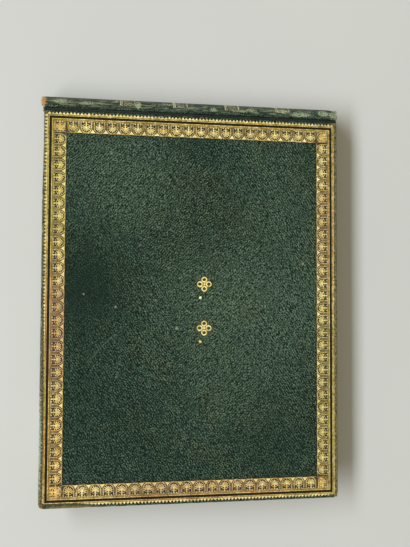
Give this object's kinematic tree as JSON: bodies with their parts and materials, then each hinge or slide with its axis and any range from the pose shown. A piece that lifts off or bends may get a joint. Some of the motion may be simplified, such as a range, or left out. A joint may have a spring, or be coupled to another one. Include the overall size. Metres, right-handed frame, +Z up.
{
  "type": "oblong leather-bound notebook",
  "caption": "Closed oblong notebook in green grained leather with a gilt palmette border and a rounded back; both covers open on their joints.",
  "frame": {"origin": "middle of the outer face of the back cover's side of the closed book's box, on the surface it lies on", "axes": "+X from the spine to the fore-edge, +Y from the tail to the head, +Z up through the front cover"},
  "size_m": [0.2426, 0.18, 0.02],
  "materials": {
    "green_leather": "grained goatskin, slightly glossy and worn",
    "gilt": "worn gold leaf",
    "millboard": "matt",
    "endpaper": "matt",
    "leaves": "matt, trimmed edges",
    "back_lining": "matt",
    "cord": "twisted hemp",
    "endband_silk": "silk thread"
  },
  "bodies": {
    "back_cover": {"back_leather": "green_leather", "back_board": "millboard", "back_pastedown": "endpaper", "back_fillets": "gilt", "back_palmette_roll": "gilt"},
    "book_block": {"text_block": "leaves", "front_flyleaf": "endpaper", "back_flyleaf": "endpaper", "sewing_cords": "cord", "spine_lining": "back_lining", "spine_leather": "green_leather", "spine_pallets": "gilt", "head_endband": "endband_silk", "tail_endband": "endband_silk"},
    "front_cover": {"front_leather": "green_leather", "front_board": "millboard", "front_pastedown": "endpaper", "front_tooth_roll": "gilt", "front_fillets": "gilt", "front_palmette_roll": "gilt", "front_fleurons": "gilt"}
  },
  "joints": [
    {"name": "back_cover_hinge", "type": "hinge", "parent": "back_cover", "child": "book_block", "pos_m": [-0.1125, 0, 0], "axis": [0, -1, 0], "range_deg": [0, 180]},
    {"name": "front_cover_hinge", "type": "hinge", "parent": "book_block", "child": "front_cover", "pos_m": [-0.1125, 0, 0.02], "axis": [0, -1, 0], "range_deg": [0, 180]}
  ]
}
